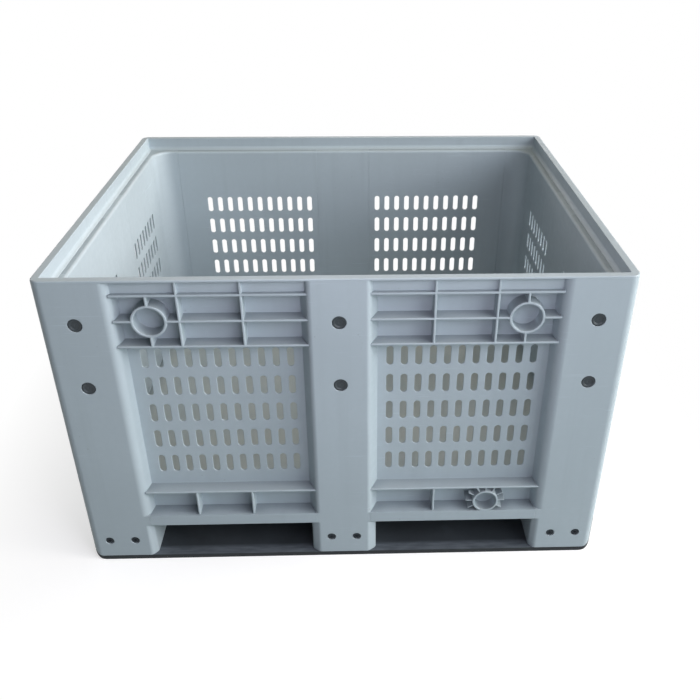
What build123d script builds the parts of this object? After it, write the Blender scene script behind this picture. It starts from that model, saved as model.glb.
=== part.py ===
from build123d import *
import os

# Vented plastic pallet box on three runners, in millimetres.
# X runs along the long side, the front faces -Y, Z is up and the origin is on the ground under the middle.
# A place on a side is given by u, to the right when that side is seen from outside, by its depth behind
# the outer plane, and by its level above the ground.

# Overall size and plastic thickness
LENGTH = 1218.0
WIDTH = 1000.0
HEIGHT = 755.0
WALL = 4.0
CLEAR = 0.2

# Levels above the ground
RUNNER_TOP = 12.0
FLANGE_TOP = 100.0
FORK_TOP = 108.0
BEAM_TOP = 137.0
FLOOR_TOP = 150.0
LEDGE_BOTTOM = 716.0
LEDGE_TOP = 721.0
LIP_BOTTOM = 750.0

# Plan of the walls and posts
RECESS = 38.0
INNER = RECESS + WALL
CORNER_RADIUS = 50.0
MID_FACE = 126.0
MID_BASE = 160.0
CORNER_FACE = 150.0
CORNER_BASE = 158.0
FOOT_BASE = 154.0
MID_FOOT_FACE = 118.0
CORNER_FOOT_FACE = 142.0
FOOT_SLANT = 13.0
FOOT_ROUND = 11.0
FLUSH_ROUND = 1.0
MID_ROUND = 12.0
SIDE_ROUND = 20.0
CORNER_ROUND = 20.0
LAP = 14.0
ROOT = RECESS + 1.0

# Stacking rim
LIP = 17.5
LIP_WEB = 13.5
LIP_ROUND = 3.0
LIP_EDGE = 1.0
WEB_CORNER = 3.0
LEDGE_ROUND = 7.0
COVE = 9.0
COVE_ARC = 13.5

# Ribs and bosses on a bay, u measured from the middle of the side
RIB = 5.0
RIB_NOSE = 1.4
RIB_SET_BACK = 4.0
LOW_RIB = 204.5
BAND_RIB = 599.7
RING_RIB = 659.2
RING_RADIUS = 37.0
RING_BORE = 31.5
RING_MIDDLE = (RING_RADIUS + RING_BORE) / 2
DRAIN_PLACE = 336.0
DRAIN_LEVEL = 166.0
DRAIN_RADIUS = 30.0
DRAIN_BORE = 26.0
DRAIN_DEPTH = 30.0
DRAIN_GUSSETS = 12
GUSSET = 2.2
GUSSET_REACH = 46.0
BAY_RIBS = {"long": (196.5, 325.0), "short": (176.0,)}
RING_PLACE = {"long": 387.0, "short": 264.0}
LOW_BAY_RIBS = {"long": (212.5, 341.0), "short": (176.0, 264.0)}

# Vent slots
SLOT_WIDTH = 15.0
SLOT_HEIGHT = 48.0
SLOT_PITCH = 31.15
ROW_PITCH = 71.6
ROW_MIDDLE = 409.0
SLOT_SHIFT = 3.0
SLOT_COLUMNS = {"long": 11, "short": 8}
SLOT_ROWS = 5

# Bolts that clamp a post to its strip, under round caps
BOLT_LEVELS = (655.0, 502.0)
BOLT_INSET = 74.5
TUBE_RADIUS = 19.0
TUBE_DEPTH = 22.0
CAP_RADIUS = 15.0
CAP_BORE = 15.2
CAP_SEAT = 18.0
CAP_CHAMFER = 0.5
BOSS_RADIUS = 11.0
BOSS_CLEAR = 15.0
BOLT_RADIUS = 4.0
BOLT_HOLE = 4.5
BOLT_TIP = 36.0
HEAD_RADIUS = 7.5
HEAD_HEIGHT = 5.5
WASHER_RADIUS = 9.0
WASHER_THICK = 1.6

# Screws through the feet into the runner
SCREW_LEVEL = 61.0
SCREW_SPREAD = 30.5
SCREW_INSET = 75.5
SCREW_BOSS = 13.5
SCREW_SEAT = 6.0
SCREW_BORE = 10.5
SCREW_DEPTH = 14.0
SCREW_HEAD = 9.8
SCREW_HEAD_HEIGHT = 4.5
HEAD_TAPER = 12.0
SCREW_RADIUS = 3.0
SCREW_HOLE = 3.25
SCREW_TIP = 32.0
CROSS_WIDTH = 2.2
CROSS_LENGTH = 9.0
CROSS_DEPTH = 2.2

# Runner
FLANGE = 4.0
FOOT_BEND = 20.0
RUNNER_BEND = 30.0
UPSTAND_TOP = 85.0
UPSTAND_HALF = 52.0
UPSTAND_BACK = 34.0

# Floor deck
DECK = 5.0
DECK_RIB_BOTTOM = 112.0
DECK_CELLS_X = 10
DECK_CELLS_Y = 8
FLOOR_SCREW_SPREAD = 30.0
FLOOR_SCREW_INSET = 100.0
FLOOR_BOSS = 7.0
FLOOR_SCREW = 2.5
FLOOR_SCREW_HOLE = 3.0
FLOOR_SCREW_TIP = 138.0
FLOOR_HEAD = 6.0
FLOOR_HEAD_HEIGHT = 4.0

OUTWARD = {
    "front": Vector(0, -1, 0),
    "rear": Vector(0, 1, 0),
    "left": Vector(-1, 0, 0),
    "right": Vector(1, 0, 0),
}
UP = Vector(0, 0, 1)
BAY_NAMES = {
    "front": {-1: "left", 1: "right"},
    "rear": {-1: "right", 1: "left"},
    "left": {-1: "rear", 1: "front"},
    "right": {-1: "front", 1: "rear"},
}
CORNERS = {
    "front_left": (-1, -1),
    "front_right": (1, -1),
    "rear_left": (-1, 1),
    "rear_right": (1, 1),
}


def kind(side):
    """Front and rear are the long sides, left and right the short ones."""
    return "long" if side in ("front", "rear") else "short"


def reach(side):
    """Distance from the middle of the box to the outer plane of a side."""
    return WIDTH / 2 if kind(side) == "long" else LENGTH / 2


def half_run(side):
    """Half the length of a side."""
    return LENGTH / 2 if kind(side) == "long" else WIDTH / 2


def along(side):
    """Direction of u on a side."""
    return UP.cross(OUTWARD[side])


def face_plane(side, depth=0.0):
    """Elevation of a side in (u, level), at a depth behind the outer plane, facing outward."""
    outward = OUTWARD[side]
    return Plane(origin=outward * (reach(side) - depth), x_dir=along(side), z_dir=outward)


def plan_plane(side, level):
    """Plan of a side in (u, depth), at a level."""
    return Plane(origin=OUTWARD[side] * reach(side) + UP * level, x_dir=along(side), z_dir=UP)


def cross_plane(side, u):
    """Cross-section of a side in (depth, level), at a place along it."""
    outward = OUTWARD[side]
    return Plane(origin=outward * reach(side) + along(side) * u, x_dir=outward * -1, z_dir=along(side))


def corner_plane(corner, level):
    """Plan of a corner in distances from its two outer planes, which turn alike at all four corners."""
    sign_x, sign_y = CORNERS[corner]
    toward_middle = Vector(-sign_x, 0, 0) if sign_x == sign_y else Vector(0, -sign_y, 0)
    return Plane(origin=(sign_x * LENGTH / 2, sign_y * WIDTH / 2, level), x_dir=toward_middle, z_dir=UP)


def corner_sides(corner):
    """The two sides that meet at a corner, each with the sign of u towards that corner."""
    sign_x, sign_y = CORNERS[corner]
    place = Vector(sign_x, sign_y, 0)
    sides = ("right" if sign_x > 0 else "left", "rear" if sign_y > 0 else "front")
    return [(side, 1 if along(side).dot(place) > 0 else -1) for side in sides]


def places(side, points, depth=0.0):
    """Locations on a side for hole features, which cut inward."""
    return [face_plane(side, depth).location * Pos(u, level, 0) for u, level in points]


def mid_slant(depth):
    """Half width of a mid post at a depth."""
    return (MID_FACE + (MID_BASE - MID_FACE) * depth / RECESS) / 2


def corner_slant(side, depth):
    """Edge of the corner post on a side, as u, at a depth."""
    return half_run(side) - CORNER_FACE - (CORNER_BASE - CORNER_FACE) * depth / RECESS


def bay_end(side):
    """Where a bay panel meets the corner strip."""
    return half_run(side) - INNER - CORNER_RADIUS


def save(part, name):
    """Write one finished piece under its own name."""
    part.label = name
    export_step(part, f"parts/{name}.step")


def box_inside():
    """Plan of the inside of the bin, with its rounded corners."""
    RectangleRounded(LENGTH - 2 * INNER, WIDTH - 2 * INNER, CORNER_RADIUS)


def ease_ledge(piece):
    """Round the inner edge of the ledge, inside the block of the piece it belongs to."""
    inner_x, inner_y = LENGTH / 2 - INNER + CLEAR, WIDTH / 2 - INNER + CLEAR
    top = piece.edges().filter_by(lambda edge: abs(edge.center().Z - LEDGE_TOP) < CLEAR)
    inner = top.filter_by(lambda edge: abs(edge.center().X) < inner_x and abs(edge.center().Y) < inner_y)
    fillet(inner, LEDGE_ROUND)


def post_room(side, bay):
    """Plan of the two posts beside a bay, with their rounded edges and some clearance, above the beam."""
    beside = (
        (0, mid_slant(0) + CLEAR, mid_slant(RECESS) + CLEAR, MID_ROUND),
        (half_run(side), corner_slant(side, 0) - CLEAR, corner_slant(side, RECESS) - CLEAR, SIDE_ROUND),
    )
    with BuildSketch(plan_plane(side, BEAM_TOP)) as room:
        for edge, face, base, rounding in beside:
            outline = ((edge, 0), (face, 0), (base, RECESS), (base, INNER), (edge, INNER))
            Polygon(*[(bay * u, depth) for u, depth in outline], align=None)
            front = room.vertices().filter_by(lambda v: v.Y < CLEAR)
            fillet(front.filter_by(lambda v: abs(bay * v.X - face) < CLEAR), rounding)
    return room.sketch


def bay_panel(side, bay):
    """Vented wall between two posts: plate, ledge on top, ribbed bands and their bosses."""
    size = kind(side)
    mid_edge = MID_BASE / 2
    ring = RING_PLACE[size]
    has_drain = side == "front" and bay > 0
    low_ribs = LOW_BAY_RIBS[size][:1] if has_drain else LOW_BAY_RIBS[size]
    rib_depth = ROOT - RIB_SET_BACK
    with BuildPart() as panel:
        # Horizontal ribs with a rounded nose, the lowest one under the vents and two above them
        first, last = MID_FACE / 2, corner_slant(side, 0)
        level_ribs = (
            (LOW_RIB, first, last),
            (BAND_RIB, first, last),
            (RING_RIB, first, ring - RING_MIDDLE),
            (RING_RIB, ring + RING_MIDDLE, last),
        )
        for level, start, end in level_ribs:
            with BuildSketch(cross_plane(side, min(bay * start, bay * end))) as profile:
                with Locations((RIB_SET_BACK, level)):
                    Rectangle(rib_depth, RIB, align=(Align.MIN, Align.CENTER))
                fillet(profile.vertices().group_by(Axis.X)[0], RIB_NOSE)
            extrude(amount=end - start)
        # Upright ribs: the upper band runs up to the ledge, the lower band stands on the beam
        upper = [(u, BAND_RIB, LEDGE_BOTTOM) for u in BAY_RIBS[size]]
        stubs = [(ring, BAND_RIB, RING_RIB - RING_MIDDLE), (ring, RING_RIB + RING_MIDDLE, LEDGE_BOTTOM)]
        lower = [(u, BEAM_TOP, LOW_RIB) for u in low_ribs]
        for u, start, end in upper + stubs + lower:
            with BuildSketch(plan_plane(side, start)) as profile:
                with Locations((bay * u, RIB_SET_BACK)):
                    Rectangle(RIB, rib_depth, align=(Align.CENTER, Align.MIN))
                fillet(profile.vertices().group_by(Axis.Y)[0], RIB_NOSE)
            extrude(amount=end - start)
        # Ring boss in the upper band
        with BuildSketch(cross_plane(side, bay * ring)) as profile:
            with Locations((RIB_SET_BACK, RING_RIB + RING_BORE)):
                Rectangle(rib_depth, RING_RADIUS - RING_BORE, align=Align.MIN)
            fillet(profile.vertices().group_by(Axis.X)[0], RIB_NOSE)
        revolve(axis=Axis(face_plane(side).from_local_coords((bay * ring, RING_RIB, 0)), OUTWARD[side]))
        if has_drain:
            # Blank drain boss with gussets, standing on the beam
            for depth, reach_out in ((RIB_SET_BACK, GUSSET_REACH), (0, DRAIN_RADIUS)):
                with BuildSketch(face_plane(side, depth)):
                    with Locations((DRAIN_PLACE, DRAIN_LEVEL)):
                        if reach_out > DRAIN_RADIUS:
                            with PolarLocations(0, DRAIN_GUSSETS):
                                Rectangle(reach_out, GUSSET, align=(Align.MIN, Align.CENTER))
                        else:
                            Circle(reach_out)
                    with Locations((DRAIN_PLACE, (BEAM_TOP + LOW_RIB) / 2)):
                        Rectangle(2 * reach_out, LOW_RIB - BEAM_TOP, mode=Mode.INTERSECT)
                extrude(amount=depth - ROOT)
            with Locations(*places(side, [(DRAIN_PLACE, DRAIN_LEVEL)])):
                Hole(DRAIN_BORE, depth=DRAIN_DEPTH)
        # Front of the ledge
        with BuildSketch(plan_plane(side, LEDGE_BOTTOM)):
            with Locations((bay * (first + last) / 2, RIB_SET_BACK)):
                Rectangle(last - first, LIP_WEB - RIB_SET_BACK, align=(Align.CENTER, Align.MIN))
        extrude(amount=LEDGE_TOP - LEDGE_BOTTOM)
        # Ribs and ledge stop at the slanted sides of the two posts
        extrude(post_room(side, bay), amount=LEDGE_TOP - BEAM_TOP, mode=Mode.SUBTRACT)
        # Plate, stepped at its ends so that it laps with the strips behind the posts
        near, far = mid_edge + CLEAR, bay_end(side) - LAP - CLEAR
        step = RECESS + WALL / 2
        plate = (
            (near - LAP, RECESS),
            (far + LAP, RECESS),
            (far + LAP, step),
            (far, step),
            (far, INNER),
            (near, INNER),
            (near, step),
            (near - LAP, step),
        )
        with BuildSketch(plan_plane(side, BEAM_TOP)):
            Polygon(*[(bay * u, depth) for u, depth in plate], align=None)
        extrude(amount=LEDGE_BOTTOM - BEAM_TOP)
        # Back of the ledge, which reaches behind the posts
        with BuildSketch(plan_plane(side, LEDGE_BOTTOM)):
            with Locations((bay * (near + far) / 2, LIP_WEB)):
                Rectangle(far - near, INNER - LIP_WEB, align=(Align.CENTER, Align.MIN))
        extrude(amount=LEDGE_TOP - LEDGE_BOTTOM)
        ease_ledge(panel)
        # Vent slots
        slots_u = (mid_edge + half_run(side) - CORNER_BASE) / 2 - SLOT_SHIFT
        with BuildSketch(face_plane(side, RECESS)):
            with Locations((bay * slots_u, ROW_MIDDLE)):
                with GridLocations(SLOT_PITCH, ROW_PITCH, SLOT_COLUMNS[size], SLOT_ROWS):
                    SlotOverall(SLOT_HEIGHT, SLOT_WIDTH, rotation=90)
        extrude(amount=-WALL, mode=Mode.SUBTRACT)
    return panel.part


def strip_bosses(side, points):
    """Threaded bosses that reach from a strip towards the post, inside the block of that strip."""
    with BuildSketch(face_plane(side, TUBE_DEPTH)) as bosses:
        with Locations(*points):
            Circle(BOSS_RADIUS)
    extrude(bosses.sketch, amount=TUBE_DEPTH - INNER - CORNER_RADIUS / 2)


def mid_strip(side):
    """Smooth inner strip behind a mid post, lapped with the panels on both sides."""
    points = [(0, level) for level in BOLT_LEVELS]
    with BuildPart() as strip:
        strip_bosses(side, points)
        for depth, half in ((RECESS, MID_BASE / 2 - LAP), (RECESS + WALL / 2, MID_BASE / 2)):
            with BuildSketch(face_plane(side, depth)):
                with Locations((0, (FORK_TOP + LEDGE_TOP) / 2)):
                    Rectangle(2 * half, LEDGE_TOP - FORK_TOP)
            extrude(amount=-WALL / 2)
        with BuildSketch(plan_plane(side, LEDGE_BOTTOM)):
            with Locations((0, LIP_WEB)):
                Rectangle(MID_BASE, INNER - LIP_WEB, align=(Align.CENTER, Align.MIN))
        extrude(amount=LEDGE_TOP - LEDGE_BOTTOM)
        with BuildSketch(Plane.XY):
            box_inside()
        extrude(amount=HEIGHT, mode=Mode.SUBTRACT)
        ease_ledge(strip)
        with Locations(*places(side, points, TUBE_DEPTH)):
            Hole(BOLT_RADIUS, depth=BOLT_TIP + 1 - TUBE_DEPTH)
    return strip.part


def corner_strip(corner):
    """Rounded inner corner of the bin, lapped with the panels, with the ledge's corner on top."""
    centre = INNER + CORNER_RADIUS
    edge = centre + LAP - CLEAR
    with BuildPart() as strip:
        with BuildSketch(corner_plane(corner, FORK_TOP)):
            with Locations((centre, centre)):
                Circle(CORNER_RADIUS + WALL)
            Rectangle(centre, centre, align=Align.MIN, mode=Mode.INTERSECT)
            with Locations((centre, INNER - WALL / 2)):
                Rectangle(edge - centre, WALL / 2, align=Align.MIN)
            with Locations((INNER - WALL / 2, centre)):
                Rectangle(WALL / 2, edge - centre, align=Align.MIN)
        extrude(amount=LEDGE_TOP - FORK_TOP)
        with BuildSketch(corner_plane(corner, LEDGE_BOTTOM)):
            with Locations((LIP_WEB, LIP_WEB)):
                Rectangle(edge - LIP_WEB, edge - LIP_WEB, align=Align.MIN)
        extrude(amount=LEDGE_TOP - LEDGE_BOTTOM)
        for side, sign in corner_sides(corner):
            strip_bosses(side, [(sign * (half_run(side) - BOLT_INSET), level) for level in BOLT_LEVELS])
        with BuildSketch(Plane.XY):
            box_inside()
        extrude(amount=HEIGHT, mode=Mode.SUBTRACT)
        ease_ledge(strip)
        for side, sign in corner_sides(corner):
            points = [(sign * (half_run(side) - BOLT_INSET), level) for level in BOLT_LEVELS]
            with Locations(*places(side, points, TUBE_DEPTH)):
                Hole(BOLT_RADIUS, depth=BOLT_TIP + 1 - TUBE_DEPTH)
    return strip.part


def foot_bend(sign, thick=0.0):
    """Room for the upturned end of a runner at one end of the box, cut away inside the block of a foot."""
    face = LENGTH / 2 - FLANGE - CLEAR
    bend = FOOT_BEND - thick
    with BuildSketch(Plane.XZ) as room:
        with BuildLine():
            Line((sign * (face - thick), FLANGE_TOP + CLEAR), (sign * (face - thick), RUNNER_TOP + FOOT_BEND))
            RadiusArc(
                (sign * (face - thick), RUNNER_TOP + FOOT_BEND),
                (sign * (face - FOOT_BEND), RUNNER_TOP + thick),
                sign * bend,
            )
            Polyline(
                (sign * (face - FOOT_BEND), RUNNER_TOP + thick),
                (sign * (face - FOOT_BEND), 0),
                (sign * LENGTH, 0),
                (sign * LENGTH, FLANGE_TOP + CLEAR),
                (sign * (face - thick), FLANGE_TOP + CLEAR),
            )
        make_face()
    extrude(room.sketch, amount=WIDTH, both=True, mode=Mode.SUBTRACT)


def mid_foot_plan(sketch):
    """Plan of a mid post's foot in (u, depth), inside the block of that sketch."""
    face, base = MID_FOOT_FACE / 2, FOOT_BASE / 2
    Polygon(
        (-base, FOOT_BASE),
        (-base, FOOT_SLANT),
        (-face, 0),
        (face, 0),
        (base, FOOT_SLANT),
        (base, FOOT_BASE),
        align=None,
    )
    fillet(sketch.vertices().filter_by(lambda v: v.Y < FOOT_SLANT + CLEAR), FOOT_ROUND)


def mid_shaft_plan(sketch, rounding):
    """Plan of a mid post above its foot in (u, depth), inside the block of that sketch."""
    face, base = MID_FACE / 2, MID_BASE / 2
    Polygon((-base, RECESS), (-face, 0), (face, 0), (base, RECESS), align=None)
    fillet(sketch.vertices().group_by(Axis.Y)[0], rounding)


def corner_rounds(sketch, face, rounding):
    """Round the outer edges of a corner post's plan with faces that wide, inside the block of that sketch."""
    fillet(sketch.vertices().filter_by(lambda v: max(v.X, v.Y) < CLEAR), CORNER_ROUND)
    sides = sketch.vertices().filter_by(lambda v: min(v.X, v.Y) < FOOT_SLANT + CLEAR)
    fillet(sides.filter_by(lambda v: max(v.X, v.Y) > face - CLEAR), rounding)


def corner_foot_plan(sketch):
    """Plan of a corner post's foot, measured from the two outer planes, inside the block of that sketch."""
    Polygon(
        (FOOT_BASE, FOOT_BASE),
        (FOOT_SLANT, FOOT_BASE),
        (0, CORNER_FOOT_FACE),
        (0, 0),
        (CORNER_FOOT_FACE, 0),
        (FOOT_BASE, FOOT_SLANT),
        align=None,
    )
    corner_rounds(sketch, CORNER_FOOT_FACE, FOOT_ROUND)


def corner_shaft_plan(sketch, rounding):
    """Plan of a corner post above its foot, round the corner of the bin, inside the block of that sketch."""
    centre = INNER + CORNER_RADIUS
    bend = CORNER_RADIUS + WALL + CLEAR
    with BuildLine() as outline:
        Polyline(
            (centre - bend, centre),
            (RECESS, centre),
            (RECESS, CORNER_BASE),
            (0, CORNER_FACE),
            (0, 0),
            (CORNER_FACE, 0),
            (CORNER_BASE, RECESS),
            (centre, RECESS),
            (centre, centre - bend),
        )
        RadiusArc((centre, centre - bend), (centre - bend, centre), bend)
    make_face(outline.edges())
    corner_rounds(sketch, CORNER_FACE, rounding)


def screw_points(side, place):
    """Screws of a foot on a side, place being the sign of u towards it, or 0 in the middle."""
    middle = place * (half_run(side) - SCREW_INSET)
    return [(middle - SCREW_SPREAD, SCREW_LEVEL), (middle + SCREW_SPREAD, SCREW_LEVEL)]


def bolt_points(side, place):
    """Bolts of a post on a side, place being the sign of u towards it, or 0 in the middle."""
    return [(place * (half_run(side) - BOLT_INSET), level) for level in BOLT_LEVELS]


def post_fixings(side, place, with_screws, clear_radius):
    """Bolt tubes and screw bosses of one face of a post, inside the block of that post."""
    bolts = bolt_points(side, place)
    screws = screw_points(side, place)
    with BuildSketch(face_plane(side, WALL / 2)) as tubes:
        with Locations(*bolts):
            Circle(TUBE_RADIUS)
    extrude(tubes.sketch, amount=WALL / 2 - TUBE_DEPTH)
    with Locations(*places(side, bolts)):
        CounterBoreHole(BOLT_HOLE, CAP_BORE, CAP_SEAT, depth=TUBE_DEPTH)
    with Locations(*places(side, bolts, TUBE_DEPTH)):
        Hole(clear_radius, depth=INNER)
    if with_screws:
        recess = FLANGE + CLEAR if kind(side) == "short" else 0
        with BuildSketch(face_plane(side, recess + WALL / 2)) as bosses:
            with Locations(*screws):
                Circle(SCREW_BOSS)
        extrude(bosses.sketch, amount=recess + WALL / 2 - SCREW_DEPTH)
        with Locations(*places(side, screws)):
            CounterBoreHole(SCREW_HOLE, SCREW_BORE, SCREW_SEAT, depth=SCREW_DEPTH)


def ease_cap_bores(post, side):
    """Chamfer the mouths of the cap bores on one side of a post, inside the block of that post."""
    rims = post.edges().filter_by(GeomType.CIRCLE)
    rims = rims.filter_by(lambda edge: abs(edge.radius - CAP_BORE) < CLEAR)
    chamfer(rims.group_by(Axis(origin=(0, 0, 0), direction=OUTWARD[side]))[-1], CAP_CHAMFER)


def mid_post(side):
    """Hollow post in the middle of a side, with its foot."""
    ends = [] if kind(side) == "long" else [1 if side == "right" else -1]
    with BuildPart() as hollow:
        with BuildSketch(plan_plane(side, 0)) as inside:
            mid_foot_plan(inside)
            offset(amount=-WALL, kind=Kind.INTERSECTION, mode=Mode.REPLACE)
        extrude(amount=FORK_TOP - WALL)
        for sign in ends:
            foot_bend(sign, WALL)
    with BuildPart() as post:
        # Foot
        with BuildSketch(plan_plane(side, RUNNER_TOP)) as foot:
            mid_foot_plan(foot)
        extrude(amount=FORK_TOP - RUNNER_TOP)
        for sign in ends:
            foot_bend(sign)
        add(hollow.part, mode=Mode.SUBTRACT)
        # Shaft, flush with the beams and rounded above them
        for start, end, rounding in ((FORK_TOP, BEAM_TOP, FLUSH_ROUND), (BEAM_TOP, LEDGE_BOTTOM, MID_ROUND)):
            with BuildSketch(plan_plane(side, start)) as section:
                mid_shaft_plan(section, rounding)
            extrude(amount=end - start)
        # Hollow of the shaft, closed below and under the ledge
        with BuildSketch(plan_plane(side, FORK_TOP + WALL)) as inside:
            mid_shaft_plan(inside, MID_ROUND)
            offset(amount=-WALL, kind=Kind.INTERSECTION, mode=Mode.REPLACE)
        extrude(amount=LEDGE_BOTTOM - FORK_TOP - 2 * WALL, mode=Mode.SUBTRACT)
        # Tab in front of the lip
        with BuildSketch(plan_plane(side, LEDGE_BOTTOM)) as tab:
            mid_shaft_plan(tab, MID_ROUND)
            Rectangle(MID_BASE, LIP_WEB - CLEAR, align=(Align.CENTER, Align.MIN), mode=Mode.INTERSECT)
        extrude(amount=LIP_BOTTOM - LEDGE_BOTTOM)
        post_fixings(side, 0, True, BOSS_RADIUS + CLEAR)
        ease_cap_bores(post, side)
        # Holes for the floor screws
        with Locations(*[(x, y, FORK_TOP) for x, y in floor_points(side)]):
            Hole(FLOOR_SCREW_HOLE, depth=WALL)
    return post.part


def corner_post(corner):
    """Hollow post at a corner, with its foot."""
    sign_x = CORNERS[corner][0]
    with BuildPart() as hollow:
        with BuildSketch(corner_plane(corner, 0)) as inside:
            corner_foot_plan(inside)
            offset(amount=-WALL, kind=Kind.INTERSECTION, mode=Mode.REPLACE)
        extrude(amount=FORK_TOP - WALL)
        foot_bend(sign_x, WALL)
    with BuildPart() as post:
        # Foot
        with BuildSketch(corner_plane(corner, RUNNER_TOP)) as foot:
            corner_foot_plan(foot)
        extrude(amount=FORK_TOP - RUNNER_TOP)
        foot_bend(sign_x)
        add(hollow.part, mode=Mode.SUBTRACT)
        # Shaft, flush with the beams and rounded above them
        for start, end, rounding in ((FORK_TOP, BEAM_TOP, FLUSH_ROUND), (BEAM_TOP, LEDGE_BOTTOM, SIDE_ROUND)):
            with BuildSketch(corner_plane(corner, start)) as section:
                corner_shaft_plan(section, rounding)
            extrude(amount=end - start)
        # Hollow of the shaft, closed below and under the ledge
        with BuildSketch(corner_plane(corner, FORK_TOP + WALL)) as inside:
            corner_shaft_plan(inside, SIDE_ROUND)
            offset(amount=-WALL, kind=Kind.INTERSECTION, mode=Mode.REPLACE)
        extrude(amount=LEDGE_BOTTOM - FORK_TOP - 2 * WALL, mode=Mode.SUBTRACT)
        # Tab in front of the lip
        depth = LIP_WEB - CLEAR
        with BuildSketch(corner_plane(corner, LEDGE_BOTTOM)) as tab:
            corner_shaft_plan(tab, SIDE_ROUND)
            with Locations((depth, depth)):
                Rectangle(CORNER_BASE, CORNER_BASE, align=Align.MIN, mode=Mode.SUBTRACT)
        extrude(amount=LIP_BOTTOM - LEDGE_BOTTOM)
        for side, sign in corner_sides(corner):
            post_fixings(side, sign, kind(side) == "long", BOSS_CLEAR)
        for side, sign in corner_sides(corner):
            ease_cap_bores(post, side)
        # Holes for the floor screws
        with Locations(*[(x, y, FORK_TOP) for x, y in floor_points(corner)]):
            Hole(FLOOR_SCREW_HOLE, depth=WALL)
    return post.part


def foot_middle(place):
    """Middle of the floor screws over a foot on the ground plan, by its side or corner, or centre."""
    far_x, far_y = LENGTH / 2 - FLOOR_SCREW_INSET, WIDTH / 2 - FLOOR_SCREW_INSET
    if place in CORNERS:
        sign_x, sign_y = CORNERS[place]
        return sign_x * far_x, sign_y * far_y
    if place in OUTWARD:
        outward = OUTWARD[place]
        return outward.X * far_x, outward.Y * far_y
    return 0.0, 0.0


def floor_points(place):
    """The two floor screws over a foot, on the ground plan."""
    x, y = foot_middle(place)
    return [(x - FLOOR_SCREW_SPREAD, y), (x + FLOOR_SCREW_SPREAD, y)]


FEET = (*CORNERS, *OUTWARD, "centre")


def centre_foot():
    """Square hollow foot under the middle of the floor, screwed to the middle runner from the front."""
    plane = Plane(origin=(0, -FOOT_BASE / 2, 0), x_dir=(1, 0, 0), z_dir=(0, -1, 0))
    screws = [(-SCREW_SPREAD, SCREW_LEVEL), (SCREW_SPREAD, SCREW_LEVEL)]
    with BuildPart() as foot:
        with BuildSketch(Plane.XY.offset(RUNNER_TOP)):
            RectangleRounded(FOOT_BASE, FOOT_BASE, FOOT_ROUND)
            offset(amount=-WALL, mode=Mode.SUBTRACT)
        extrude(amount=FORK_TOP - RUNNER_TOP)
        with BuildSketch(Plane.XY.offset(FORK_TOP - WALL)):
            RectangleRounded(FOOT_BASE, FOOT_BASE, FOOT_ROUND)
        extrude(amount=WALL)
        with BuildSketch(plane.offset(-WALL / 2)):
            with Locations(*screws):
                Circle(SCREW_BOSS)
        extrude(amount=WALL / 2 - SCREW_DEPTH)
        with Locations(*[plane.location * Pos(x, z, 0) for x, z in screws]):
            CounterBoreHole(SCREW_HOLE, SCREW_BORE, SCREW_SEAT, depth=SCREW_DEPTH)
        with Locations(*[(x, y, FORK_TOP) for x, y in floor_points("centre")]):
            Hole(FLOOR_SCREW_HOLE, depth=WALL)
    return foot.part


def floor_deck():
    """Solid floor with ribs below, a skirt round it and the bottom beams of the eight bays."""
    deck_x, deck_y = LENGTH - 2 * INNER - 2 * CLEAR, WIDTH - 2 * INNER - 2 * CLEAR
    cell_x, cell_y = deck_x / DECK_CELLS_X, deck_y / DECK_CELLS_Y
    under = FLOOR_TOP - DECK
    with BuildPart() as floor:
        # Ribs under the deck
        with BuildSketch(Plane.XY.offset(DECK_RIB_BOTTOM)):
            with GridLocations(cell_x, 0, DECK_CELLS_X - 1, 1):
                Rectangle(WALL, deck_y - WALL)
            with GridLocations(0, cell_y, 1, DECK_CELLS_Y - 1):
                Rectangle(deck_x - WALL, WALL)
        extrude(amount=under - DECK_RIB_BOTTOM)
        # Skirt
        with BuildSketch(Plane.XY.offset(FORK_TOP)):
            RectangleRounded(deck_x, deck_y, CORNER_RADIUS - CLEAR)
            offset(amount=-WALL, mode=Mode.SUBTRACT)
        extrude(amount=under - FORK_TOP)
        # Bottom beams between the posts, hollow from below, with ribs under the ribs of the lower band
        for side in OUTWARD:
            for bay in (-1, 1):
                near, far = mid_slant(0) + CLEAR, corner_slant(side, 0) - CLEAR
                near_in, far_in = mid_slant(RECESS) + CLEAR, corner_slant(side, RECESS) - CLEAR
                back = INNER + WALL / 2
                outline = (
                    (near, 0),
                    (far, 0),
                    (far_in, RECESS),
                    (far_in, back),
                    (near_in, back),
                    (near_in, RECESS),
                )
                with BuildSketch(plan_plane(side, FORK_TOP)) as beam:
                    Polygon(*[(bay * u, depth) for u, depth in outline], align=None)
                extrude(amount=BEAM_TOP - FORK_TOP)
                with BuildSketch(plan_plane(side, FORK_TOP)) as core:
                    Polygon(*[(bay * u, depth) for u, depth in outline], align=None)
                    offset(amount=-WALL, kind=Kind.INTERSECTION, mode=Mode.REPLACE)
                    for u in LOW_BAY_RIBS[kind(side)]:
                        with Locations((bay * u, 0)):
                            Rectangle(RIB, 2 * INNER, mode=Mode.SUBTRACT)
                extrude(amount=BEAM_TOP - WALL - FORK_TOP, mode=Mode.SUBTRACT)
        # Deck plate
        with BuildSketch(Plane.XY.offset(under)):
            RectangleRounded(deck_x, deck_y, CORNER_RADIUS - CLEAR)
        extrude(amount=DECK)
        # Bosses for the screws from the feet
        points = [point for place in FEET for point in floor_points(place)]
        with BuildSketch(Plane.XY.offset(FORK_TOP)):
            with Locations(*points):
                Circle(FLOOR_BOSS)
        extrude(amount=FLOOR_TOP - FORK_TOP)
        with BuildSketch(Plane.XY.offset(FORK_TOP)):
            with Locations(*points):
                Circle(FLOOR_SCREW)
        extrude(amount=FLOOR_SCREW_TIP + 1 - FORK_TOP, mode=Mode.SUBTRACT)
    return floor.part


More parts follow.
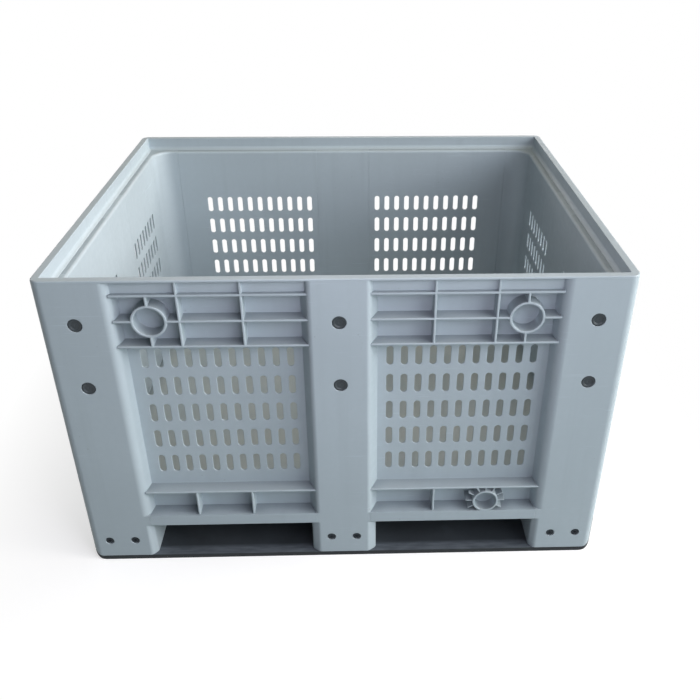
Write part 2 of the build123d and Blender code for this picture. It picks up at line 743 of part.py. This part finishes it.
def stacking_rim():
    """Raised lip round the top: a flat flange on a thin web with a cove inside and stub ribs in the bays."""
    with BuildPart() as rim:
        with BuildSketch(Plane.XY.offset(LIP_BOTTOM)):
            RectangleRounded(LENGTH, WIDTH, CORNER_ROUND)
        extrude(amount=HEIGHT - LIP_BOTTOM)
        fillet(rim.edges().group_by(Axis.Z)[-1], LIP_ROUND)
        with BuildSketch(Plane.XY.offset(LIP_BOTTOM)):
            RectangleRounded(LENGTH - 2 * LIP, WIDTH - 2 * LIP, WEB_CORNER)
        extrude(amount=HEIGHT - LIP_BOTTOM, mode=Mode.SUBTRACT)
        inner_x, inner_y = LENGTH / 2 - LIP + CLEAR, WIDTH / 2 - LIP + CLEAR
        top = rim.edges().group_by(Axis.Z)[-1]
        inner = top.filter_by(lambda edge: abs(edge.center().X) < inner_x and abs(edge.center().Y) < inner_y)
        fillet(inner, LIP_EDGE)
        with BuildSketch(Plane.XY.offset(LEDGE_TOP)):
            RectangleRounded(LENGTH - 2 * LIP_WEB, WIDTH - 2 * LIP_WEB, WEB_CORNER)
            RectangleRounded(LENGTH - 2 * LIP, WIDTH - 2 * LIP, WEB_CORNER, mode=Mode.SUBTRACT)
        extrude(amount=LIP_BOTTOM - LEDGE_TOP)
        for side in OUTWARD:
            # Hollow cove in the corner between web and ledge, along this side
            run = half_run(side) - LIP_WEB - WEB_CORNER
            root = (LIP_WEB + LIP) / 2
            toe, heel = (LIP + COVE, LEDGE_TOP), (LIP, LEDGE_TOP + COVE)
            with BuildSketch(cross_plane(side, -run)):
                with BuildLine():
                    RadiusArc(toe, heel, COVE_ARC)
                    Polyline(heel, (root, LEDGE_TOP + COVE), (root, LEDGE_TOP), toe)
                make_face()
            extrude(amount=2 * run)
            for u in BAY_RIBS[kind(side)]:
                for bay in (-1, 1):
                    with BuildSketch(plan_plane(side, LEDGE_TOP)) as stub:
                        with Locations((bay * u, RIB_SET_BACK)):
                            Rectangle(RIB, LIP_WEB - RIB_SET_BACK, align=(Align.CENTER, Align.MIN))
                        fillet(stub.vertices().group_by(Axis.Y)[0], RIB_NOSE)
                    extrude(amount=LIP_BOTTOM - LEDGE_TOP)
    return rim.part


def runner(row):
    """Skid under three feet, row being -1 at the front, 0 in the middle and 1 at the rear."""
    middle_y = row * (WIDTH - FOOT_BASE) / 2
    end = LENGTH / 2
    with BuildPart() as skid:
        # Flat strip with upturned ends
        with BuildSketch(Plane.XZ.offset(-middle_y)) as profile:
            with BuildLine():
                inside = end - FLANGE
                Polyline((0, 0), (end - RUNNER_BEND, 0))
                RadiusArc((end - RUNNER_BEND, 0), (end, RUNNER_BEND), -RUNNER_BEND)
                Polyline(
                    (end, RUNNER_BEND),
                    (end, FLANGE_TOP),
                    (inside, FLANGE_TOP),
                    (inside, RUNNER_TOP + FOOT_BEND),
                )
                RadiusArc((inside, RUNNER_TOP + FOOT_BEND), (inside - FOOT_BEND, RUNNER_TOP), FOOT_BEND)
                Polyline((inside - FOOT_BEND, RUNNER_TOP), (0, RUNNER_TOP), (0, 0))
            make_face()
            mirror(about=Plane.YZ)
        extrude(amount=FOOT_BASE / 2, both=True)
        with BuildSketch(Plane.XY):
            with Locations((0, middle_y)):
                RectangleRounded(LENGTH, FOOT_BASE, CORNER_ROUND)
        extrude(amount=HEIGHT, mode=Mode.INTERSECT)
        # Upstands inside the feet, which take the screws
        gap = SCREW_DEPTH + CLEAR
        slope = ((end - RUNNER_BEND, RUNNER_TOP), (end - gap, RUNNER_TOP + FOOT_BEND + CLEAR))
        if row:
            side = "front" if row < 0 else "rear"
            inner = end - SCREW_INSET - UPSTAND_HALF
            depth = UPSTAND_BACK - gap
            middle_depth = (gap + UPSTAND_BACK) / 2
            block_y = row * (WIDTH / 2 - middle_depth)
        else:
            inner = end - UPSTAND_BACK - gap
            depth = 2 * (SCREW_SPREAD + SCREW_BOSS)
            block_y = 0.0
        with BuildSketch(Plane.XZ.offset(-block_y)):
            for sign in (-1, 1):
                corners = ((inner, RUNNER_TOP), *slope, (end - gap, UPSTAND_TOP), (inner, UPSTAND_TOP))
                Polygon(*[(sign * x, z) for x, z in corners], align=None)
        extrude(amount=depth / 2, both=True)
        centre_y = block_y if row else gap + (UPSTAND_BACK - gap) / 2 - FOOT_BASE / 2
        with BuildSketch(Plane.XZ.offset(-centre_y)):
            with Locations((0, RUNNER_TOP)):
                Rectangle(2 * UPSTAND_HALF, UPSTAND_TOP - RUNNER_TOP, align=(Align.CENTER, Align.MIN))
        extrude(amount=(UPSTAND_BACK - gap) / 2, both=True)
        # Screw holes
        if row:
            for place in (-1, 0, 1):
                with Locations(*places(side, screw_points(side, place), SCREW_DEPTH)):
                    Hole(SCREW_RADIUS, depth=SCREW_TIP + 1 - SCREW_DEPTH)
        else:
            for side in ("left", "right"):
                with Locations(*places(side, screw_points(side, 0))):
                    Hole(SCREW_BORE, depth=FLANGE + CLEAR)
                with Locations(*places(side, screw_points(side, 0), SCREW_DEPTH)):
                    Hole(SCREW_RADIUS, depth=SCREW_TIP + 1 - SCREW_DEPTH)
            inset = (WIDTH - FOOT_BASE) / 2 + SCREW_DEPTH
            with Locations(*places("front", screw_points("front", 0), inset)):
                Hole(SCREW_RADIUS, depth=SCREW_TIP + 1 - SCREW_DEPTH)
    return skid.part


def bolt_group(faces):
    """Hex bolts with washers under the caps of one post, faces being its sides with the sign of u."""
    with BuildPart() as bolts:
        for side, place in faces:
            points = bolt_points(side, place)
            for radius, start, end in (
                (WASHER_RADIUS, CAP_SEAT - WASHER_THICK, CAP_SEAT),
                (BOLT_RADIUS, CAP_SEAT - WASHER_THICK, BOLT_TIP),
            ):
                with BuildSketch(face_plane(side, start)):
                    with Locations(*points):
                        Circle(radius)
                extrude(amount=start - end)
            with BuildSketch(face_plane(side, CAP_SEAT - WASHER_THICK)):
                with Locations(*points):
                    RegularPolygon(HEAD_RADIUS, 6)
            extrude(amount=HEAD_HEIGHT)
    return bolts.part


def cap_group(faces):
    """Dished push-in caps over the bolts of one post."""
    rim_depth, dish_depth, skirt_depth = 0.6, 2.4, 7.0
    rim_inner, dish_radius, dimple_radius = 11.5, 8.5, 2.5
    skirt = 1.8
    edge = 1.0
    with BuildPart() as caps:
        for side, place in faces:
            for u, level in bolt_points(side, place):
                with BuildSketch(cross_plane(side, u)):
                    with BuildLine():
                        Polyline(
                            (dish_depth + 2 * edge, level),
                            (dish_depth + edge, level),
                            (dish_depth, level + dimple_radius),
                            (dish_depth, level + dish_radius),
                            (rim_depth, level + rim_inner),
                            (rim_depth, level + CAP_RADIUS - edge),
                            (rim_depth + edge, level + CAP_RADIUS),
                            (skirt_depth, level + CAP_RADIUS),
                            (skirt_depth, level + CAP_RADIUS - skirt),
                            (dish_depth + 2 * edge, level + CAP_RADIUS - skirt),
                            close=True,
                        )
                    make_face()
                revolve(axis=Axis(face_plane(side).from_local_coords((u, level, 0)), OUTWARD[side]))
    return caps.part


def foot_screws(plane, points):
    """Pan head screws with a cross recess, inside the block of a group, on a face seen from outside."""
    head = SCREW_SEAT - SCREW_HEAD_HEIGHT
    with BuildSketch(plane.offset(-SCREW_SEAT)) as heads:
        with Locations(*points):
            Circle(SCREW_HEAD)
    extrude(heads.sketch, amount=SCREW_HEAD_HEIGHT, taper=HEAD_TAPER)
    with BuildSketch(plane.offset(-SCREW_SEAT)) as shanks:
        with Locations(*points):
            Circle(SCREW_RADIUS)
    extrude(shanks.sketch, amount=SCREW_SEAT - SCREW_TIP)
    with BuildSketch(plane.offset(-head)) as crosses:
        with Locations(*points):
            Rectangle(CROSS_LENGTH, CROSS_WIDTH)
            Rectangle(CROSS_WIDTH, CROSS_LENGTH)
    extrude(crosses.sketch, amount=-CROSS_DEPTH, mode=Mode.SUBTRACT)


def runner_screws(row):
    """The six screws that hold one runner to its feet."""
    with BuildPart() as screws:
        if row:
            side = "front" if row < 0 else "rear"
            points = [point for place in (-1, 0, 1) for point in screw_points(side, place)]
            foot_screws(face_plane(side), points)
        else:
            for side in ("left", "right"):
                foot_screws(face_plane(side), screw_points(side, 0))
            foot_screws(face_plane("front", (WIDTH - FOOT_BASE) / 2), screw_points("front", 0))
    return screws.part


def floor_screws():
    """Screws from inside the feet up into the floor, two for each of the nine feet."""
    points = [point for place in FEET for point in floor_points(place)]
    seat = FORK_TOP - WALL
    with BuildPart() as screws:
        with BuildSketch(Plane.XY.offset(seat - FLOOR_HEAD_HEIGHT)):
            with Locations(*points):
                Circle(FLOOR_HEAD)
        extrude(amount=FLOOR_HEAD_HEIGHT)
        with BuildSketch(Plane.XY.offset(seat)):
            with Locations(*points):
                Circle(FLOOR_SCREW)
        extrude(amount=FLOOR_SCREW_TIP - seat)
    return screws.part


os.makedirs("parts", exist_ok=True)

save(stacking_rim(), "stacking_rim")
for side_name in OUTWARD:
    for bay_sign, bay_name in BAY_NAMES[side_name].items():
        save(bay_panel(side_name, bay_sign), f"{side_name}_panel_{bay_name}")
    save(mid_strip(side_name), f"{side_name}_strip")
    save(mid_post(side_name), f"{side_name}_post")
    save(bolt_group([(side_name, 0)]), f"{side_name}_post_bolts")
    save(cap_group([(side_name, 0)]), f"{side_name}_post_caps")
for corner_name in CORNERS:
    save(corner_strip(corner_name), f"{corner_name}_strip")
    save(corner_post(corner_name), f"{corner_name}_post")
    save(bolt_group(corner_sides(corner_name)), f"{corner_name}_post_bolts")
    save(cap_group(corner_sides(corner_name)), f"{corner_name}_post_caps")
save(floor_deck(), "floor_deck")
save(floor_screws(), "floor_screws")
save(centre_foot(), "centre_foot")
for row_sign, row_name in ((-1, "front"), (0, "middle"), (1, "rear")):
    save(runner(row_sign), f"{row_name}_runner")
    save(runner_screws(row_sign), f"{row_name}_runner_screws")
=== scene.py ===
import bpy
import math
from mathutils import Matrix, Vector


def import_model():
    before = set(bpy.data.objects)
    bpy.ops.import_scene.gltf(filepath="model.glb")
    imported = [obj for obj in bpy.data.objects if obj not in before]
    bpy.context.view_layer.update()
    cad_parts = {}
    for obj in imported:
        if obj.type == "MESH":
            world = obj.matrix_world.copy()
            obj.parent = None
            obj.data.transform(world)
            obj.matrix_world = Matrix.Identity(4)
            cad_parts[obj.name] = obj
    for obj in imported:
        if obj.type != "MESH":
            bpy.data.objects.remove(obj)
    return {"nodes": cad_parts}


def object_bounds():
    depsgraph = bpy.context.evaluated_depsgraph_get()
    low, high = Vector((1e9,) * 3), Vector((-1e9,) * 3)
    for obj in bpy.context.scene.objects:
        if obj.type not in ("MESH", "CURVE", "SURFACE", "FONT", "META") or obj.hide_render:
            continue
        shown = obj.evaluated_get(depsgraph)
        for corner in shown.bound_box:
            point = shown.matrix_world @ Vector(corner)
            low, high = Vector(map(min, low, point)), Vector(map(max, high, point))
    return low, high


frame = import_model()
cad_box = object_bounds()
nodes = frame["nodes"]

# Base colours of the pieces
PALE_PLASTIC = (0.378, 0.442, 0.478, 1.0)
RUNNER_BLACK = (0.022, 0.026, 0.029, 1.0)
CAP_SLATE = (0.024, 0.033, 0.039, 1.0)
SCREW_BLACK = (0.030, 0.036, 0.042, 1.0)
ZINC = (0.45, 0.45, 0.46, 1.0)

# Dust, painted light for the runners' tops and plain white
FLOOR_DUST = (0.490, 0.510, 0.490, 1.0)
RUNNER_DUST = (0.070, 0.082, 0.095, 1.0)
RUNNER_PAINTED_LIGHT = (0.118, 0.137, 0.157, 1.0)
WHITE = (1.0, 1.0, 1.0, 1.0)

# In metres: the height where the bin's floor starts to be dusty, the distance from the middle where the
# runners' painted light starts, the softness of both lines, and how far painted shade reaches out of a corner
FLOOR_LEVEL = 0.145
LEVEL_BLUR = 0.002
PAINTED_LIGHT_FROM = 0.475
PAINTED_LIGHT_BLUR = 0.006
CORNER_REACH = 0.04

# Rays that a rounded edge or a corner takes to find its surroundings
EDGE_RAYS = 6

# Directions and squeezes of streaky patterns, as turns and scales for X, Y and Z
NO_TURN = (0.0, 0.0, 0.0)
FLAT_TURN = (0.0, 0.12, 0.0)
SLANTED_TURN = (0.5, 0.9, 0.3)
SCRATCH_SQUEEZE = (9.0, 9.0, 260.0)
RUN_SQUEEZE = (38.0, 38.0, 1.6)
# The streaks in the painted light strip on the runners' tops.
PAINTED_LIGHT_SQUEEZE = (24.0, 120.0, 24.0)

# The ground under the box: half its side, how far its shadow fades, its drop, its own glow and its grey
GROUND_HALF = 30.0
GROUND_FADE = 0.45
GROUND_DROP = 0.0005
GROUND_GLOW = 0.60
GROUND_GREY = 0.55
GROUND_BOUNCE = (0.27, 0.32, 0.31, 1.0)

# Even light from all round, and lamps: name, place, width, height, power and tint, all aimed at one point
AMBIENT = 0.05
AMBIENT_TINT = (0.93, 1.0, 1.04, 1.0)
AIM = (0.0, -0.1, 0.45)
LAMPS = [
    ("window", (11.0, 0.0, 4.0), 8.4, 4.2, 1640.0, (1.0, 0.95, 0.91)),
    ("window_front", (4.4, -3.4, 3.4), 4.5, 3.0, 226.0, (0.91, 0.93, 1.0)),
    ("doorway", (7.2, -3.2, 1.5), 6.0, 2.6, 110.0, (0.85, 1.0, 0.85)),
    ("ceiling", (0.6, 0.0, 3.4), 2.4, 1.6, 12.0, (1.0, 0.98, 0.72)),
    ("over_bin", (0.1, -0.35, 1.55), 1.2, 0.4, 1.4, (0.96, 0.95, 1.0)),
    ("room", (0.8, -3.6, 1.1), 2.4, 1.4, 12.0, (0.82, 0.88, 1.0)),
    ("front", (0.10, -1.25, 1.15), 0.4, 0.5, 3.2, (0.93, 0.84, 1.0)),
    ("rear_left", (-3.4, 2.4, 0.85), 2.4, 1.0, 46.0, (1.0, 0.95, 0.92)),
    ("rear", (0.4, 4.2, 0.85), 2.4, 1.0, 44.0, (0.96, 0.93, 1.0)),
]


class Graph:
    """A node tree, with short calls to add and join nodes."""

    def __init__(self, tree, output):
        self.tree = tree
        self.tree.nodes.clear()
        self.output = self.add(output)

    def add(self, kind, settings=None, **inputs):
        """A new node with its settings and inputs, where an underscore in an input's name is a space."""
        node = self.tree.nodes.new(kind)
        for key, value in (settings or {}).items():
            setattr(node, key, value)
        for key, value in inputs.items():
            self.put(node, key.replace("_", " "), value)
        return node

    def put(self, node, key, value):
        """Join a socket to another, or set its constant. A key of digits counts the inputs."""
        socket = node.inputs[int(key)] if key.isdigit() else node.inputs[key]
        if isinstance(value, bpy.types.NodeSocket):
            self.tree.links.new(value, socket)
        else:
            socket.default_value = value

    def place(self):
        return self.add("ShaderNodeTexCoord").outputs["Object"]

    def axes(self, vector):
        return self.add("ShaderNodeSeparateXYZ", Vector=vector).outputs

    def noise(self, place, scale, detail=3.0, roughness=0.5):
        node = self.add("ShaderNodeTexNoise", Vector=place, Scale=scale, Detail=detail, Roughness=roughness)
        return node.outputs["Fac"]

    def streaks(self, place, turn, squeeze, detail):
        """Noise drawn out along one direction."""
        turned = self.add("ShaderNodeMapping", Vector=place, Rotation=turn, Scale=squeeze)
        return self.noise(turned.outputs["Vector"], scale=1.0, detail=detail)

    def spread(self, value, low, high, start=0.0, end=1.0):
        """A value from start to end turned into one from low to high."""
        node = self.add("ShaderNodeMapRange", Value=value)
        for key, number in (("From Min", start), ("From Max", end), ("To Min", low), ("To Max", high)):
            self.put(node, key, number)
        return node.outputs["Result"]

    def rise(self, value, start, end):
        """0 up to the start, 1 from the end on."""
        return self.spread(value, 0.0, 1.0, start, end)

    def mix(self, factor, first, second):
        """Two colours mixed. The node's inputs 6 and 7 and its output 2 are the ones for colours."""
        node = self.add("ShaderNodeMix", {"data_type": "RGBA"})
        for index, value in ((0, factor), (6, first), (7, second)):
            self.put(node, str(index), value)
        return node.outputs[2]

    def math(self, operation, first, second=0.5):
        node = self.add("ShaderNodeMath", {"operation": operation})
        self.put(node, "0", first)
        self.put(node, "1", second)
        return node.outputs[0]

    def times(self, first, second):
        """The product of two values."""
        return self.math("MULTIPLY", first, second)

    def bump(self, height, strength, distance, normal):
        node = self.add("ShaderNodeBump", Strength=strength, Distance=distance, Height=height, Normal=normal)
        return node.outputs["Normal"]

    def either_shader(self, factor, first, second):
        """Two shaders mixed by a factor."""
        node = self.add("ShaderNodeMixShader")
        for index, value in enumerate((factor, first, second)):
            self.put(node, str(index), value)
        return node.outputs[0]

    def seen_directly(self):
        """1 for rays that show the background: from the camera, or off gloss or through glass."""
        path = self.add("ShaderNodeLightPath")
        direct = self.math("MAXIMUM", path.outputs["Is Camera Ray"], path.outputs["Is Glossy Ray"])
        return self.math("MAXIMUM", direct, path.outputs["Is Transmission Ray"])


def new_material(name):
    """A material and the graph of its nodes."""
    material = bpy.data.materials.new(name)
    material.use_nodes = True
    return material, Graph(material.node_tree, "ShaderNodeOutputMaterial")


def shade(colour, factor):
    """A colour made lighter or darker."""
    return (*[channel * factor for channel in colour[:3]], 1.0)


def scratches(graph, place, turn):
    """Thin scratch lines in patches, 0 to 1, running along one direction."""
    lines = graph.rise(graph.streaks(place, turn, SCRATCH_SQUEEZE, detail=2.0), start=0.66, end=0.74)
    patches = graph.rise(graph.noise(place, scale=5.0), start=0.50, end=0.66)
    return graph.times(lines, patches)


def cloudy(graph, place, colour, mottle, wear):
    """The plastic's own tone: wide clouds, run marks down the walls and a fine mottle."""
    cloud = graph.rise(graph.noise(place, scale=4.0, detail=4.0), start=0.3, end=0.7)
    tone = graph.mix(cloud, shade(colour, 0.96), shade(colour, 1.03))
    runs = graph.streaks(place, NO_TURN, RUN_SQUEEZE, detail=3.0)
    amount = graph.spread(runs, low=0.0, high=0.5 * wear, start=0.52, end=0.75)
    tone = graph.mix(amount, tone, shade(colour, 0.90))
    return graph.mix(graph.times(mottle, 0.35), tone, shade(colour, 0.95))


def specked(graph, place, tone, speck, wear):
    """Small specks of dirt in some places."""
    cells = graph.add("ShaderNodeTexVoronoi", Vector=place, Scale=42.0)
    dots = graph.spread(cells.outputs["Distance"], low=0.45 * wear, high=0.0, start=0.04, end=0.09)
    chosen = graph.rise(graph.noise(place, scale=11.0, detail=2.0), start=0.54, end=0.62)
    return graph.mix(graph.times(dots, chosen), tone, speck)


def dusted(graph, place, tone, facing_up, dust, dusting, level):
    """Drifts of dust on what faces up, above a level."""
    above = graph.rise(graph.axes(place)["Z"], start=level - LEVEL_BLUR, end=level)
    cover = graph.noise(place, scale=9.0, detail=5.0, roughness=0.6)
    drifts = graph.spread(cover, low=0.55 * dusting, high=dusting, start=0.35, end=0.65)
    return graph.mix(graph.times(graph.times(above, facing_up), drifts), tone, dust)


def dirty_corners(graph, tone, facing_up, corner_shade_tone, corner_shade_strength):
    """Painted shade: a darker tone in inner corners, on what faces up."""
    corner = graph.add("ShaderNodeAmbientOcclusion", {"samples": EDGE_RAYS}, Distance=CORNER_REACH)
    corner_shade_amount = graph.spread(corner.outputs["AO"], low=corner_shade_strength, high=0.0, start=0.45, end=0.95)
    return graph.mix(graph.times(facing_up, corner_shade_amount), tone, corner_shade_tone)


def rubbed_strip(graph, place, tone, facing_up, painted_light_tone):
    """Painted light: a paler, streaky strip along the outer edge of the runners, on top."""
    outwards = graph.math("ABSOLUTE", graph.axes(place)["Y"])
    outer = graph.rise(outwards, start=PAINTED_LIGHT_FROM - PAINTED_LIGHT_BLUR, end=PAINTED_LIGHT_FROM + PAINTED_LIGHT_BLUR)
    lines = graph.streaks(place, NO_TURN, PAINTED_LIGHT_SQUEEZE, detail=3.0)
    painted_light_amount = graph.times(outer, graph.spread(lines, low=0.55, high=1.0, start=0.35, end=0.65))
    return graph.mix(graph.times(facing_up, painted_light_amount), tone, painted_light_tone)


def worn_edges(graph, tone, edge, bevel, normal):
    """Paler tone where the rounded normal turns away from the face's own, along edges."""
    bent = graph.add("ShaderNodeVectorMath", {"operation": "DOT_PRODUCT"})
    graph.put(bent, "0", bevel)
    graph.put(bent, "1", normal)
    worn = graph.spread(bent.outputs["Value"], low=0.55, high=0.0, start=0.80, end=0.995)
    return graph.mix(worn, tone, edge)


def moulded_plastic(
    name, colour, edge, grain, roughness, soft_edge, gloss, wear, dust, dusting,
    level=0.0, corner_shade_strength=0.0, painted_light_tone=None,
):
    """Moulded plastic with a worn, dusty surface, soft edges, slight waves and a fine grain; where asked,
    painted shade in inner corners and a painted light strip on the runners' tops.
    """
    material, graph = new_material(name)
    place = graph.place()
    normal = graph.add("ShaderNodeNewGeometry").outputs["Normal"]
    bevel = graph.add("ShaderNodeBevel", {"samples": EDGE_RAYS}, Radius=soft_edge).outputs["Normal"]
    mottle = graph.rise(graph.noise(place, scale=70.0), start=0.3, end=0.7)
    scuffs = graph.math(
        "MAXIMUM", scratches(graph, place, FLAT_TURN), scratches(graph, place, SLANTED_TURN),
    )
    facing_up = graph.rise(graph.axes(normal)["Z"], start=0.55, end=0.90)

    tone = cloudy(graph, place, colour, mottle, wear)
    tone = graph.mix(graph.times(scuffs, 0.7 * wear), tone, edge)
    tone = specked(graph, place, tone, shade(colour, 0.55), wear)
    tone = dusted(graph, place, tone, facing_up, dust, dusting, level)
    # Painted shade: a darker tone in the inner corners that face up.
    if corner_shade_strength > 0.0:
        tone = dirty_corners(graph, tone, facing_up, shade(colour, 0.6), corner_shade_strength)
    # Painted light: a paler strip along the outer edge of the runners' tops.
    if painted_light_tone:
        tone = rubbed_strip(graph, place, tone, facing_up, painted_light_tone)
    tone = worn_edges(graph, tone, edge, bevel, normal)

    waves = graph.noise(place, scale=16.0, detail=2.0)
    fine = graph.noise(place, scale=grain, detail=2.0)
    relief = graph.bump(waves, strength=0.10, distance=0.002, normal=bevel)
    relief = graph.bump(scuffs, strength=0.10 * wear, distance=0.0004, normal=relief)
    relief = graph.bump(fine, strength=0.12, distance=0.0004, normal=relief)

    rough = graph.spread(mottle, low=roughness - 0.05, high=roughness + 0.06)
    rough = graph.math("ADD", rough, graph.times(scuffs, 0.12))
    surface = graph.add(
        "ShaderNodeBsdfPrincipled", Base_Color=tone, Roughness=rough, Specular_IOR_Level=gloss, Normal=relief,
    )
    graph.put(graph.output, "Surface", surface.outputs["BSDF"])
    return material


def plated_steel(name, colour):
    """Plated or blackened steel with a faint spangle."""
    material, graph = new_material(name)
    spangle = graph.noise(graph.place(), scale=300.0)
    tone = graph.mix(spangle, shade(colour, 0.8), shade(colour, 1.15))
    rough = graph.spread(spangle, low=0.35, high=0.55)
    surface = graph.add("ShaderNodeBsdfPrincipled", Base_Color=tone, Roughness=rough, Metallic=1.0)
    graph.put(graph.output, "Surface", surface.outputs["BSDF"])
    return material


pale = moulded_plastic(
    "pale_plastic", PALE_PLASTIC, shade(PALE_PLASTIC, 1.2), grain=900.0, roughness=0.48, soft_edge=0.0014,
    gloss=0.5, wear=1.0, dust=shade(FLOOR_DUST, 0.75), dusting=0.25,
)
# The bin's floor gets painted shade in its inner corners.
dusty = moulded_plastic(
    "dusty_plastic", PALE_PLASTIC, shade(PALE_PLASTIC, 1.1), grain=900.0, roughness=0.55, soft_edge=0.0014,
    gloss=0.4, wear=1.0, dust=FLOOR_DUST, dusting=1.0, level=FLOOR_LEVEL, corner_shade_strength=1.2,
)
# The vented panels get painted shade in their inner corners.
vented = moulded_plastic(
    "vented_plastic", PALE_PLASTIC, shade(PALE_PLASTIC, 1.25), grain=900.0, roughness=0.48, soft_edge=0.0024,
    gloss=0.5, wear=1.0, dust=shade(FLOOR_DUST, 0.75), dusting=0.25, corner_shade_strength=0.9,
)
# The runners get painted light along the outer edge of their tops.
black = moulded_plastic(
    "runner_black", RUNNER_BLACK, shade(RUNNER_BLACK, 2.6), grain=500.0, roughness=0.5, soft_edge=0.002,
    gloss=0.2, wear=1.0, dust=RUNNER_DUST, dusting=0.4, painted_light_tone=RUNNER_PAINTED_LIGHT,
)
slate = moulded_plastic(
    "cap_slate", CAP_SLATE, shade(CAP_SLATE, 1.3), grain=1200.0, roughness=0.42, soft_edge=0.0006,
    gloss=0.4, wear=0.3, dust=RUNNER_DUST, dusting=0.2,
)
steel = plated_steel("zinc_steel", ZINC)
dark_steel = plated_steel("black_steel", SCREW_BLACK)


def material_for(name):
    """The material of a node, by the kind of piece in its name."""
    if name.endswith("_caps"):
        return slate
    if name.endswith("_runner_screws"):
        return dark_steel
    if name.endswith("_bolts") or name.endswith("_screws"):
        return steel
    if name.endswith("_runner"):
        return black
    if name == "floor_deck":
        return dusty
    if "_panel_" in name:
        return vented
    return pale


for name, node in nodes.items():
    node.data.materials.clear()
    node.data.materials.append(material_for(name))


def camera():
    """Camera at the photograph's viewing angle."""
    data = bpy.data.cameras.new("camera")
    data.sensor_width = 36.0
    data.lens = 40.015
    data.shift_x = -0.0381
    data.shift_y = -0.0143
    eye = bpy.data.objects.new("camera", data)
    eye.location = (0.0324, -1.8870, 1.4320)
    eye.rotation_euler = [math.radians(angle) for angle in (59.4716, -0.2183, -1.7045)]
    bpy.context.scene.collection.objects.link(eye)
    bpy.context.scene.camera = eye


def ground():
    """Plain pale ground: the object's shadow close to it, fading to white a little way off."""
    half = GROUND_HALF
    mesh = bpy.data.meshes.new("floor")
    corners = [(-half, -half, 0), (half, -half, 0), (half, half, 0), (-half, half, 0)]
    mesh.from_pydata(corners, [], [(0, 1, 2, 3)])
    plane = bpy.data.objects.new("floor", mesh)
    plane.location.z = -GROUND_DROP
    bpy.context.scene.collection.objects.link(plane)

    material, graph = new_material("floor_white")
    glow = graph.add("ShaderNodeEmission", Color=WHITE, Strength=GROUND_GLOW)
    lit = graph.add("ShaderNodeBsdfDiffuse", Color=shade(WHITE, GROUND_GREY))
    shadowed = graph.add("ShaderNodeAddShader")
    graph.put(shadowed, "0", glow.outputs[0])
    graph.put(shadowed, "1", lit.outputs[0])
    bright = graph.add("ShaderNodeEmission", Color=WHITE, Strength=1.0)
    axes = graph.axes(graph.place())
    reach = cad_box[1]
    off_x = graph.math("SUBTRACT", graph.math("ABSOLUTE", axes["X"]), reach[0])
    off_y = graph.math("SUBTRACT", graph.math("ABSOLUTE", axes["Y"]), reach[1])
    away = graph.rise(graph.math("MAXIMUM", off_x, off_y), start=0.0, end=GROUND_FADE)
    shown = graph.either_shader(away, shadowed.outputs[0], bright.outputs[0])
    bounce = graph.add("ShaderNodeBsdfDiffuse", Color=GROUND_BOUNCE)
    surface = graph.either_shader(graph.seen_directly(), bounce.outputs[0], shown)
    graph.put(graph.output, "Surface", surface)
    mesh.materials.append(material)


def world():
    """Weak even light from all round, white where it is seen."""
    sky = bpy.data.worlds.new("world")
    sky.use_nodes = True
    graph = Graph(sky.node_tree, "ShaderNodeOutputWorld")
    soft = graph.add("ShaderNodeBackground", Color=AMBIENT_TINT, Strength=AMBIENT)
    white = graph.add("ShaderNodeBackground", Color=WHITE, Strength=1.0)
    surface = graph.either_shader(graph.seen_directly(), soft.outputs[0], white.outputs[0])
    graph.put(graph.output, "Surface", surface)
    bpy.context.scene.world = sky


def soft_lamp(name, place, width, height, power, tint):
    """Wide rectangular lamp that faces the object."""
    data = bpy.data.lights.new(name, "AREA")
    data.shape = "RECTANGLE"
    data.size = width
    data.size_y = height
    data.energy = power
    data.color = tint
    lamp = bpy.data.objects.new(name, data)
    lamp.location = place
    lamp.rotation_euler = (Vector(place) - Vector(AIM)).to_track_quat("Z", "Y").to_euler()
    lamp.visible_camera = False
    bpy.context.scene.collection.objects.link(lamp)


camera()
ground()
world()
for lamp in LAMPS:
    soft_lamp(*lamp)
bpy.context.scene.view_settings.view_transform = "Standard"
